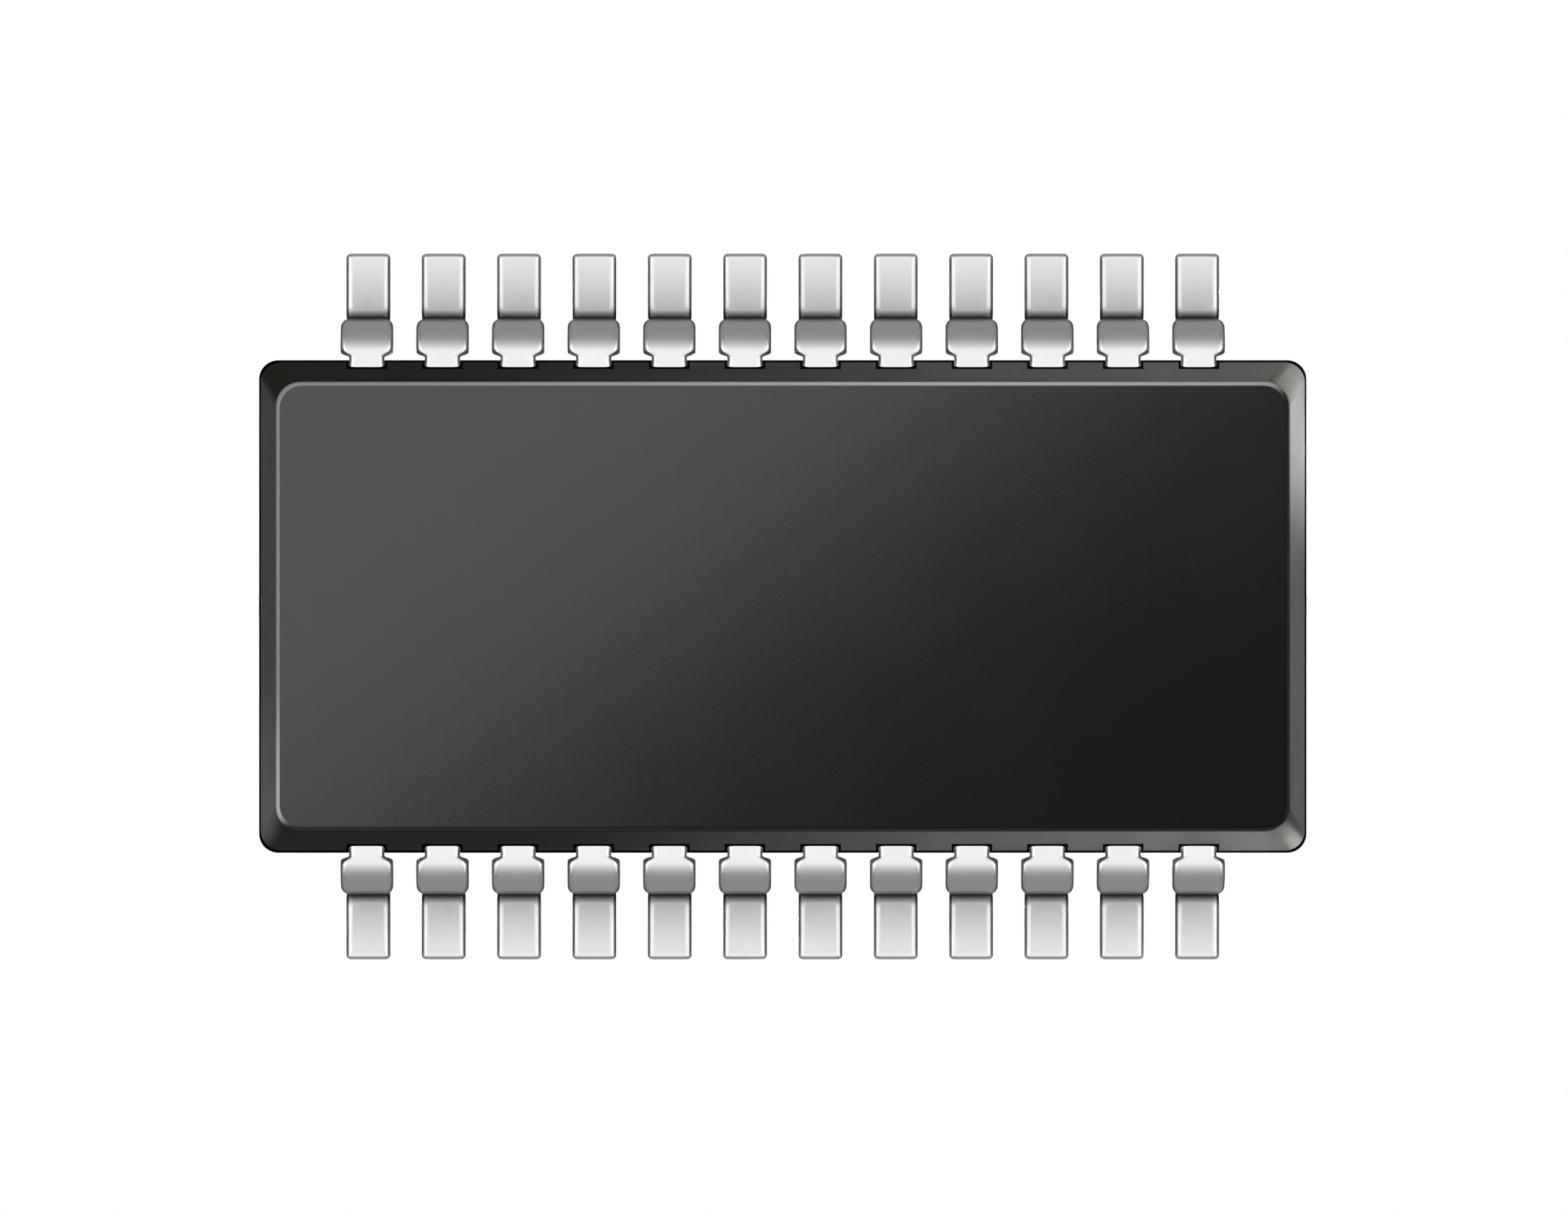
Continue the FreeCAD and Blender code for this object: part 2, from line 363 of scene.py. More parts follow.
@dataclass(frozen=True)
class CompoundFinish:
    """Black moulding compound: satin, with a fine eroded texture and a highlight painted pale on its
    rims.
    """

    name: str = "mould_compound"
    dark: Colour = (0.0082, 0.0079, 0.0056)
    light: Colour = (0.0108, 0.0104, 0.0074)
    # Pale greys painted on the rims as a highlight, paler where the highlight is strongest.
    rim_highlight: Colour = (0.150, 0.153, 0.157)
    rim_highlight_most: Colour = (0.31, 0.315, 0.32)
    smooth: float = 0.41
    rough: float = 0.45
    gloss_level: float = 0.5
    grain: float = 42000.0
    mottle: float = 900.0
    bump_depth: float = 0.0008
    bump_strength: float = 0.5
    skirt_tilt: Point = (0.48, 0.60)
    face_tilt: Point = (0.94, 0.99)
    highlight_facing: Point = (-0.25, 0.35)
    highlight_x: Point = (-4.0, 4.0)
    highlight_y: Point = (-0.5, -1.7)
    fine_share: float = 0.45
    scuff_length: float = 500.0
    scuff_width: float = 30000.0
    scuff_amount: float = 0.25
    scuff_polish: float = 0.12

    def make(self, effects: Effects) -> bpy.types.Material:
        """Build the material.

        Args:
            effects: The shared node groups.

        Returns:
            The finished material.
        """
        material, plan, shader = new_material(self.name)
        grain = effects.place(plan, effects.grain, Grain=self.grain, Mottle=self.mottle)
        scuffs = effects.place(
            plan, effects.scuffs,
            Length=self.scuff_length, Width=self.scuff_width, Amount=self.scuff_amount,
        )
        fine = plan.times(grain.outputs["Fine"], self.fine_share)
        broad = plan.times(grain.outputs["Broad"], 1.0 - self.fine_share)
        tone = plan.sum_up("ADD", fine, broad)
        base = plan.mix_colour(tone, self.dark, self.light)
        place = plan.parts("Object")
        # Painted highlight: a pale grey is mixed into the base colour on the rims that face the back
        # and the left, paler towards the right end of the back rim and the front end of the left rim.
        to_right = plan.span_mm(place["X"], self.highlight_x, 0.0, 1.0)
        to_front = plan.span_mm(place["Y"], self.highlight_y, 0.0, 1.0)
        most = plan.sum_up("MAXIMUM", to_right, to_front)
        rim_highlight = plan.mix_colour(most, self.rim_highlight, self.rim_highlight_most)
        plan.feed(shader.inputs["Base Color"], plan.mix_colour(self.rim_highlight_mask(plan), base, rim_highlight))
        rough = plan.span(tone, 0.0, 1.0, self.smooth, self.rough)
        polish = plan.times(scuffs.outputs["Mask"], self.scuff_polish)
        plan.feed(shader.inputs["Roughness"], plan.sum_up("SUBTRACT", rough, polish))
        shader.inputs["Specular IOR Level"].default_value = self.gloss_level
        add_bump(plan, shader, grain.outputs["Fine"], self.bump_depth, self.bump_strength)
        return material

    def rim_highlight_mask(self, plan: NodePlan) -> Socket:
        """Return where a pale highlight is painted on the rims: most towards the back and the left end.

        Args:
            plan: The plan of the material's tree.

        Returns:
            The socket of the mask, which is 1 where the rim highlight is painted.
        """
        normal = plan.parts("Normal")
        tilt = plan.sum_up("ABSOLUTE", normal["Z"])
        off_side = plan.span(tilt, *self.skirt_tilt, 0.0, 1.0)
        off_face = plan.span(tilt, *self.face_tilt, 1.0, 0.0)
        facing = plan.sum_up("SUBTRACT", normal["Y"], normal["X"])
        lit_facing = plan.span(facing, *self.highlight_facing, 0.0, 1.0)
        return plan.times(lit_facing, plan.times(off_side, off_face))


@dataclass(frozen=True)
class PlateFinish:
    """Matte tin plating on rolled strip: bright metal, with shade painted darker next to the heel."""

    name: str = "tin_plating"
    cool: Colour = (0.81, 0.82, 0.83)
    warm: Colour = (0.85, 0.847, 0.838)
    smooth: float = 0.34
    rough: float = 0.38
    grain: float = 60000.0
    mottle: float = 1100.0
    stretch: float = 0.12
    bump_depth: float = 0.00025
    bump_strength: float = 0.4
    foot_top: Point = (0.23, 0.36)
    heel_y: Point = (2.395, 2.435)
    crease_y: Point = (2.445, 2.54)
    fading_y: Point = (2.49, 2.95)
    bright_tip_y: Point = (2.905, 2.95)
    edge_tilt: Point = (0.970, 0.998)
    # How far the painted shade darkens the plating at the tip, along the foot and in the crease at the
    # heel.
    tip_shade: float = 0.09
    foot_shade: float = 0.36
    crease_shade: float = 0.86

    def make(self, effects: Effects) -> bpy.types.Material:
        """Build the material.

        Args:
            effects: The shared node groups.

        Returns:
            The finished material.
        """
        material, plan, shader = new_material(self.name)
        grain = effects.place(
            plan, effects.grain, Grain=self.grain, Mottle=self.mottle, Stretch=self.stretch
        )
        base = plan.mix_colour(grain.outputs["Broad"], self.cool, self.warm)
        # Painted shade: the base colour is mixed towards black in the crease at the heel and along the
        # foot, where the leg shades it.
        heel_shaded = plan.mix_colour(self.painted_heel_shade(plan), base, BLACK)
        plan.feed(shader.inputs["Base Color"], heel_shaded)
        rough = plan.span(grain.outputs["Fine"], 0.0, 1.0, self.smooth, self.rough)
        plan.feed(shader.inputs["Roughness"], rough)
        shader.inputs["Metallic"].default_value = 1.0
        add_bump(plan, shader, grain.outputs["Fine"], self.bump_depth, self.bump_strength)
        return material

    def painted_heel_shade(self, plan: NodePlan) -> Socket:
        """Return the painted shade on the plating: most at the heel, fading out along the foot.

        Args:
            plan: The plan of the material's tree.

        Returns:
            The socket of the share of light that is lost.
        """
        place = plan.parts("Object")
        distance = plan.sum_up("ABSOLUTE", place["Y"])
        low = plan.span_mm(place["Z"], self.foot_top, 1.0, 0.0)
        past_heel = plan.span_mm(distance, self.heel_y, 0.0, 1.0)
        before_tip = plan.span_mm(distance, self.bright_tip_y, 1.0, 0.0)
        on_foot = plan.times(low, plan.times(past_heel, before_tip))
        fading = plan.span_mm(distance, self.fading_y, self.foot_shade, self.tip_shade)
        crease = plan.span_mm(distance, self.crease_y, self.crease_shade, 0.0)
        flat = plan.span(plan.parts("Normal")["Z"], *self.edge_tilt, 0.0, 1.0)
        return plan.times(on_foot, plan.sum_up("MAXIMUM", plan.times(fading, flat), crease))


@dataclass(frozen=True)
class MetalFinish:
    """A bare metal or other dense finish of the pieces inside, and of cut ends."""

    name: str
    low: Colour
    high: Colour
    smooth: float
    rough: float
    metallic: float = 1.0
    grain: float = 60000.0
    mottle: float = 2500.0
    bump_depth: float = 0.001
    bump_strength: float = 0.4
    # A near-black colour painted as shade past a distance along X, where the metal is also made not
    # metallic.
    end_shade: Colour = (0.030, 0.022, 0.018)
    end_shade_x: Point | None = None

    def make(self, effects: Effects) -> bpy.types.Material:
        """Build the material.

        Args:
            effects: The shared node groups.

        Returns:
            The finished material.
        """
        material, plan, shader = new_material(self.name)
        grain = effects.place(plan, effects.grain, Grain=self.grain, Mottle=self.mottle)
        base = plan.mix_colour(grain.outputs["Broad"], self.low, self.high)
        metallic = self.metallic
        # Painted shade: past the given distance along X the metal is painted near black and not
        # metallic, as if in shadow.
        if self.end_shade_x is not None:
            distance = plan.sum_up("ABSOLUTE", plan.parts("Object")["X"])
            shaded_end = plan.span_mm(distance, self.end_shade_x, 0.0, 1.0)
            base = plan.mix_colour(shaded_end, base, self.end_shade)
            metallic = plan.span(shaded_end, 0.0, 1.0, self.metallic, 0.0)
        plan.feed(shader.inputs["Base Color"], base)
        plan.feed(shader.inputs["Metallic"], metallic)
        rough = plan.span(grain.outputs["Fine"], 0.0, 1.0, self.smooth, self.rough)
        plan.feed(shader.inputs["Roughness"], rough)
        add_bump(plan, shader, grain.outputs["Fine"], self.bump_depth, self.bump_strength)
        return material


# Painted shadow: a near-black, matt compound for the faces of the parting line and round the roots of
# the leads, where contact shadow falls.
SEAM_SHADOW = CompoundFinish(
    "seam_shadow_compound", (0.0016, 0.0016, 0.0015), (0.0024, 0.0024, 0.0023),
    smooth=0.88, rough=0.95, gloss_level=0.0,
)
CUT_COPPER = MetalFinish("cut_copper", (0.62, 0.34, 0.22), (0.78, 0.46, 0.30), 0.35, 0.50)
# The paddle's tie bars are painted near black past |x| = 4.35 mm, near the body's ends, as shade over
# their bare copper.
FRAME_COPPER = MetalFinish(
    "frame_copper", (0.74, 0.42, 0.27), (0.84, 0.52, 0.36), 0.25, 0.38, end_shade_x=(4.34, 4.36)
)
SILICON = MetalFinish("polished_silicon", (0.10, 0.11, 0.14), (0.20, 0.21, 0.25), 0.10, 0.18)
ADHESIVE = MetalFinish(
    "silver_adhesive", (0.48, 0.48, 0.46), (0.62, 0.62, 0.60), 0.45, 0.60, metallic=0.3
)
GOLD = MetalFinish("gold_wire", (0.92, 0.66, 0.24), (1.0, 0.76, 0.34), 0.15, 0.24)


class MeshPiece:
    """A mesh under construction, in millimetres, that becomes a piece of the object.

    Args:
        name: The piece's name.
    """

    def __init__(self, name: str) -> None:
        """Start an empty mesh."""
        self.name = name
        self.work = bmesh.new()

    def ring(self, points: list[Vector]) -> list[Vertex]:
        """Add one closed ring of vertices, given in millimetres."""
        return [self.work.verts.new(point * MM) for point in points]

    def bridge(self, near: list[Vertex], far: list[Vertex]) -> None:
        """Join two rings of as many vertices with quads.

        Args:
            near: The ring that the quads start from.
            far: The ring that they end at.
        """
        for index, vertex in enumerate(near):
            after = (index + 1) % len(near)
            self.work.faces.new((vertex, near[after], far[after], far[index]))

    def cap(self, ring: list[Vertex], material: int = 0) -> None:
        """Close a ring with one face of the given material."""
        face = self.work.faces.new(ring)
        face.material_index = material

    def skin(self, rings: list[list[Vertex]], end_material: int = 0) -> None:
        """Join rings one after the other, and close both ends.

        Args:
            rings: The rings, from one end to the other.
            end_material: The slot of the material of the last end.
        """
        for near, far in zip(rings, rings[1:]):
            self.bridge(near, far)
        self.cap(list(reversed(rings[0])))
        self.cap(rings[-1], end_material)

    def finish(self, *materials: bpy.types.Material) -> bpy.types.Object:
        """Turn the mesh into an object.

        Args:
            *materials: The materials of its slots.

        Returns:
            The new object, linked to the scene.
        """
        bmesh.ops.recalc_face_normals(self.work, faces=self.work.faces)
        mesh = bpy.data.meshes.new(self.name)
        self.work.to_mesh(mesh)
        self.work.free()
        for material in materials:
            mesh.materials.append(material)
        piece = bpy.data.objects.new(self.name, mesh)
        bpy.context.scene.collection.objects.link(piece)
        return piece


def apply_modifiers(piece: bpy.types.Object) -> None:
    """Replace a piece's mesh by what its modifiers make of it.

    Args:
        piece: The piece.
    """
    graph = bpy.context.evaluated_depsgraph_get()
    made = bpy.data.meshes.new_from_object(piece.evaluated_get(graph), depsgraph=graph)
    old = piece.data
    piece.modifiers.clear()
    piece.data = made
    made.name = old.name
    bpy.data.meshes.remove(old)


def shade(piece: bpy.types.Object, sharp_degrees: float) -> None:
    """Shade a piece smooth but for its sharp edges, with normals weighted by face.

    Args:
        piece: The piece.
        sharp_degrees: Edges sharper than this stay hard.
    """
    piece.data.shade_smooth()
    piece.data.set_sharp_from_angle(angle=math.radians(sharp_degrees))
    weighted = piece.modifiers.new("weighted_normals", "WEIGHTED_NORMAL")
    weighted.keep_sharp = True
    weighted.weight = 100
    apply_modifiers(piece)


@dataclass
class BodyForm:
    """The moulded body: two drafted halves that meet at a parting line."""

    end_draft: float = 13.8
    side_draft: float = 16.8
    parting_radius: float = 0.160
    face_radius: float = 0.220
    rim_radius: float = 0.052
    rim_steps: int = 7
    corner_steps: int = 14
    parting_land: float = 0.006
    mark_radius: float = 0.40
    mark_depth: float = 0.02
    mark_spacing: float = 5.20
    mark_steps: int = 64
    mark_levels: tuple[Point, ...] = ((-1.0, 1.02), (0.0, 1.005), (0.7, 0.99), (1.0, 0.965))
    wall_depth: float = 0.2
    # The seam fields place the painted shadow: a band along the parting line, and one round each lead's
    # root.
    seam_below: float = 0.02
    seam_above: float = 0.07
    seam_above_lead: float = 0.06
    seam_half: float = 0.171
    half_length: float = field(init=False)
    half_width: float = field(init=False)
    bottom: float = field(init=False)
    top: float = field(init=False)
    parting: float = field(init=False)
    seam_top: float = field(init=False)

    def __post_init__(self) -> None:
        """Take the body's outer sizes from the frame."""
        low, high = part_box("mould_body")
        self.half_length = high[0] / MM
        self.half_width = high[1] / MM
        self.bottom = low[2] / MM
        self.top = high[2] / MM
        self.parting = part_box("lead_01")[1][2] / MM - FRAME_THICKNESS
        self.seam_top = FRAME_THICKNESS + self.seam_above_lead

    def reach(self, z: float, half: float, draft: float) -> float:
        """Find how far the surface stands from the middle at a height.

        Args:
            z: The height.
            half: Half the body's size there at the parting line.
            draft: The wall's draft in degrees.

        Returns:
            The distance from the middle plane.
        """
        slope = math.tan(math.radians(draft))
        face = self.top if z > self.parting else self.bottom
        rise = abs(z - self.parting)
        centre_rise = abs(face - self.parting) - self.rim_radius
        if rise <= centre_rise + self.rim_radius * math.sin(math.radians(draft)):
            return half - rise * slope
        centre = half - centre_rise * slope - self.rim_radius / math.cos(math.radians(draft))
        above = min(rise - centre_rise, self.rim_radius)
        return centre + math.sqrt(self.rim_radius**2 - above**2)

    def outline(self, z: float) -> list[Vector]:
        """Work out the body's outline at a height.

        Args:
            z: The height.

        Returns:
            The points, anticlockwise from the right.
        """
        reach_x = self.reach(z, self.half_length, self.end_draft)
        reach_y = self.reach(z, self.half_width, self.side_draft)
        face = self.top if z > self.parting else self.bottom
        share = abs(z - self.parting) / abs(face - self.parting)
        straight = self.half_width - abs(z - self.parting) * math.tan(math.radians(self.side_draft))
        radius = blend(self.parting_radius, self.face_radius, share) - (straight - reach_y)
        points = []
        for quarter, (side_x, side_y) in enumerate(((1, 1), (-1, 1), (-1, -1), (1, -1))):
            for step in range(self.corner_steps + 1):
                angle = math.pi / 2 * (quarter + step / self.corner_steps)
                x = side_x * (reach_x - radius) + radius * math.cos(angle)
                y = side_y * (reach_y - radius) + radius * math.sin(angle)
                points.append(Vector((x, y, z)))
        return points

    def heights(self) -> list[float]:
        """Work out the heights of the rings.

        Returns:
            The heights, from the underside to the top.
        """
        rim = []
        for step in range(self.rim_steps + 1):
            angle = blend(math.radians(self.side_draft), math.pi / 2, step / self.rim_steps)
            rim.append(self.rim_radius * (1.0 - math.sin(angle)))
        lower = [self.bottom + drop for drop in reversed(rim)]
        upper = [self.top - drop for drop in rim]
        land = self.parting_land
        middle = [-self.seam_below, -land, land, self.seam_above, self.seam_top]
        return lower + [self.parting + step for step in middle] + upper

    def build_hull(self) -> bpy.types.Object:
        """Build the closed outside of the body, before anything is cut out of it.

        Returns:
            The uncut body.
        """
        piece = MeshPiece("body_shell")
        piece.skin([piece.ring(self.outline(z)) for z in self.heights()])
        self.split_walls(piece)
        return piece.finish()

    def split_walls(self, piece: MeshPiece) -> None:
        """Split the long upper walls beside each lead, so that the seams, which carry a painted shadow,
        are faces of their own.

        Args:
            piece: The body's mesh.
        """
        for index in range(LEADS_PER_ROW):
            middle = (index - (LEADS_PER_ROW - 1) / 2) * LEAD_PITCH
            for x in (middle - self.seam_half, middle + self.seam_half):
                walls = [face for face in piece.work.faces if self.on_long_wall(face)]
                edges = {edge for face in walls for edge in face.edges}
                corners = {corner for face in walls for corner in face.verts}
                bmesh.ops.bisect_plane(
                    piece.work, geom=[*corners, *edges, *walls], dist=MERGE_DISTANCE,
                    plane_co=(x * MM, 0.0, 0.0), plane_no=(1.0, 0.0, 0.0),
                )

    def on_long_wall(self, face: bmesh.types.BMFace) -> bool:
        """Tell whether a face of the skin lies on a long wall, as high as the leads' seams.

        Args:
            face: The face.

        Returns:
            True for such a face.
        """
        x, y, z = face.calc_center_median() / MM
        inside = abs(x) < self.half_length - self.wall_depth
        on_side = abs(y) > self.half_width - self.wall_depth
        return inside and on_side and 0.0 < z - self.parting < self.seam_top

    def in_seam_shadow(self, centre: Vector) -> bool:
        """Tell whether a face belongs to the parting line or to the seam round a lead, where a shadow
        is painted.

        Args:
            centre: The face's centre, in metres.

        Returns:
            True for a seam.
        """
        x, y, z = centre / MM
        if -self.seam_below < z - self.parting < self.seam_above:
            return True
        off_lead = abs(abs(x) / LEAD_PITCH % 1.0 - 0.5) * LEAD_PITCH
        in_row = abs(x) < LEADS_PER_ROW / 2 * LEAD_PITCH and off_lead < self.seam_half
        on_side = abs(y) > self.half_width - self.wall_depth
        return in_row and on_side and 0.0 < z - self.parting < self.seam_top

    def build_mark(self, side: int) -> bpy.types.Object:
        """Build the cutter of one shallow ejector-pin mark in the underside.

        Args:
            side: The sign of the mark's X.

        Returns:
            The cutter.
        """
        piece = MeshPiece("mark_cutter")
        middle = side * self.mark_spacing / 2
        turns = [math.tau * step / self.mark_steps for step in range(self.mark_steps)]
        rings = []
        for level, share in self.mark_levels:
            radius, z = self.mark_radius * share, self.bottom + level * self.mark_depth
            circle = [(middle + radius * math.cos(turn), radius * math.sin(turn)) for turn in turns]
            rings.append(piece.ring([Vector((x, y, z)) for x, y in circle]))
        piece.skin(rings)
        return piece.finish()


@dataclass
class LeadForm:
    """One lead: a stamped strip, formed into a gull wing. It lies on the plane X = 0."""

    thickness: float = FRAME_THICKNESS
    neck_width: float = 0.294
    root_width: float = 0.306
    shoulder_width: float = 0.440
    foot_width: float = 0.368
    waist_width: float = 0.359
    waist_run: float = 0.10
    waist_place: float = 0.6
    taper_lead: float = 0.05
    root_depth: float = 0.32
    root_flare: float = 0.07
    root_step: float = 0.02
    root_steps: int = 4
    finger_width: float = 0.15
    shoulder_run: float = 0.03
    upper_radius: float = 0.114
    lower_radius: float = 0.05
    leg_angle: float = math.radians(89.6)
    shoulder_start: float = -0.002
    shoulder_stop: float = 0.092
    shoulder_power: float = 2.2
    tip_radius: float = 0.036
    top_edge: float = 0.060
    tip_edge: float = 0.034
    under_edge: float = 0.014
    under_start: float = 0.6
    top_steps: int = 5
    under_steps: int = 3
    tip_steps: int = 9
    bend_steps: int = 30
    run_steps: int = 10
    half_body: float = field(init=False)
    parting: float = field(init=False)
    tip_y: float = field(init=False)

    def __post_init__(self) -> None:
        """Take the lead's place from the frame, and work out the path of its strip."""
        low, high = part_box("lead_01")
        self.half_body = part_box("mould_body")[1][1] / MM
        self.parting = high[2] / MM - self.thickness
        self.tip_y = -low[1] / MM
        angle = self.leg_angle
        self.outward = Vector((0.0, math.sin(angle), math.cos(angle)))
        self.down = Vector((0.0, math.cos(angle), -math.sin(angle)))
        outer = self.upper_radius + self.thickness
        self.bend_y = self.half_body + self.shoulder_run
        self.upper = Vector((0.0, self.bend_y, self.parting - self.upper_radius))
        reach = outer + self.lower_radius
        drop = self.upper.z + reach * self.outward.z - self.thickness - self.lower_radius
        self.leg_length = drop / math.sin(angle)
        self.lower = self.upper + self.outward * reach + self.down * self.leg_length
        self.upper_arc = angle * (self.upper_radius + self.thickness / 2)
        self.lower_arc = angle * (self.lower_radius + self.thickness / 2)
        self.leg_start = self.bend_y + self.upper_arc
        self.leg_stop = self.leg_start + self.leg_length
        self.heel = self.leg_stop + self.lower_arc
        self.end = self.heel + self.tip_y - self.lower.y

    def place(self, x: float, along: float, height: float) -> Vector:
        """Map a point of the flat strip to the formed lead.

        Args:
            x: The place across the strip.
            along: The length along the middle of the strip, which is Y up to the first bend.
            height: The height above the strip's underside.

        Returns:
            The point in space.
        """
        angle = self.leg_angle
        if along <= self.bend_y:
            return Vector((x, along, self.parting + height))
        if along < self.leg_start:
            turn = (along - self.bend_y) / self.upper_arc * angle
            spoke = Vector((0.0, math.sin(turn), math.cos(turn)))
            point = self.upper + spoke * (self.upper_radius + height)
        elif along <= self.leg_stop:
            edge = self.upper + self.outward * (self.upper_radius + height)
            point = edge + self.down * (along - self.leg_start)
        elif along < self.heel:
            turn = angle * (1.0 - (along - self.leg_stop) / self.lower_arc)
            spoke = Vector((0.0, math.sin(turn), math.cos(turn)))
            point = self.lower - spoke * (self.lower_radius + self.thickness - height)
        else:
            point = Vector((0.0, self.lower.y + along - self.heel, height))
        return Vector((x, point.y, point.z))

    def half_width(self, along: float) -> float:
        """Work out half the strip's width, up to the tip's round corners.

        Args:
            along: The length along the strip.

        Returns:
            Half the width there.
        """
        neck, shoulder, foot = self.neck_width / 2, self.shoulder_width / 2, self.foot_width / 2
        if along < self.bend_y:
            start = self.half_body - self.root_flare
            return blend(self.root_width / 2, neck, smooth_step((along - start) / self.root_flare))
        turn = min((along - self.bend_y) / self.upper_arc, 1.0) * self.leg_angle
        out = (self.upper_radius + self.thickness) * math.sin(turn)
        share = (out - self.shoulder_start) / (self.shoulder_stop - self.shoulder_start)
        if share < 1.0:
            return blend(neck, shoulder, 1.0 - (1.0 - share) ** self.shoulder_power)
        taper_start = self.leg_start - self.taper_lead
        taper_stop = self.leg_stop + self.lower_arc * self.waist_place
        if along < taper_stop:
            share = max((along - taper_start) / (taper_stop - taper_start), 0.0)
            return blend(shoulder, self.waist_width / 2, share)
        return blend(self.waist_width / 2, foot, smooth_step((along - taper_stop) / self.waist_run))

    def section(self, half: float, floor: float, roof: float) -> list[Point]:
        """Return the strip's cross-section with its round edges.

        Args:
            half: Half the width.
            floor: The height of the underside.
            roof: The height of the top.

        Returns:
            The points as a place across and a height.
        """
        room = (roof - floor) / 2
        top = min(self.top_edge, room, half)
        under = min(self.under_edge, room, half)
        points = []
        for quarter, (side, radius, steps) in enumerate(
            ((1, top, self.top_steps), (-1, top, self.top_steps),
             (-1, under, self.under_steps), (1, under, self.under_steps))
        ):
            centre_height = roof - radius if quarter < 2 else floor + radius
            for step in range(steps + 1):
                angle = math.pi / 2 * (quarter + step / steps)
                across = side * (half - radius) + radius * math.cos(angle)
                points.append((across, centre_height + radius * math.sin(angle)))
        return points

    def stations(self) -> list[float]:
        """Work out where the sections stand, past the root.

        Returns:
            The lengths along the strip.
        """
        flare = self.half_body - self.root_flare
        last = self.end - max(self.tip_radius, self.tip_edge)
        marks = [self.half_body - self.root_depth, flare - self.root_step]
        for step in range(self.root_steps + 1):
            marks.append(blend(flare, self.half_body, step / self.root_steps))
        marks.append(self.half_body + self.shoulder_run / 2)
        for start, stop, steps in (
            (self.bend_y, self.leg_start, self.bend_steps),
            (self.leg_start, self.leg_stop, self.run_steps),
            (self.leg_stop, self.heel, self.bend_steps),
            (self.heel, last, self.run_steps),
        ):
            marks += [blend(start, stop, step / steps) for step in range(steps)]
        return marks

    def build(self, name: str, finger: Vector) -> MeshPiece:
        """Sweep the sections along the strip.

        Args:
            name: The piece's name.
            finger: Where the inner finger ends, from the lead's own middle plane.

        Returns:
            The mesh under construction.
        """
        piece = MeshPiece(name)
        rings = [piece.ring(self.finger_ring(finger))]
        for along in self.stations():
            points = self.section(self.half_width(along), 0.0, self.thickness)
            rings.append(piece.ring([self.place(x, along, height) for x, height in points]))
        piece.skin(rings + self.tip_rings(piece), end_material=1)
        return piece

    def finger_ring(self, finger: Vector) -> list[Vector]:
        """Work out the section at the end of the inner finger, square to its run.

        Args:
            finger: Where the finger ends.

        Returns:
            The section's points.
        """
        run = finger - Vector((0.0, self.half_body - self.root_depth, 0.0))
        across = Vector((-run.y, run.x, 0.0)).normalized()
        points = self.section(self.finger_width / 2, 0.0, self.thickness)
        up = Vector((0.0, 0.0, 1.0))
        return [finger + across * x + up * (self.parting + height) for x, height in points]

    def tip_rings(self, piece: MeshPiece) -> list[list[Vertex]]:
        """Add the rings that round the foot's tip, in plan and over its top edge.

        Args:
            piece: The lead's mesh.

        Returns:
            The rings, the last of which lies on the cut end.
        """
        rings = []
        start = self.end - max(self.tip_radius, self.tip_edge)
        for step in range(self.tip_steps):
            angle = math.pi / 2 * (step + 0.5) / self.tip_steps
            along = blend(start, self.end, math.sin(angle))
            into_corner = max(0.0, along - (self.end - self.tip_radius))
            pull = self.tip_radius - math.sqrt(max(self.tip_radius**2 - into_corner**2, 0.0))
            into_edge = max(0.0, along - (self.end - self.tip_edge))
            drop = self.tip_edge - math.sqrt(max(self.tip_edge**2 - into_edge**2, 0.0))
            lift = self.under_edge * max(0.0, (step + 1) / self.tip_steps - self.under_start)
            points = self.section(self.foot_width / 2 - pull, lift, self.thickness - drop)
            rings.append(piece.ring([self.place(x, along, height) for x, height in points]))
        return rings


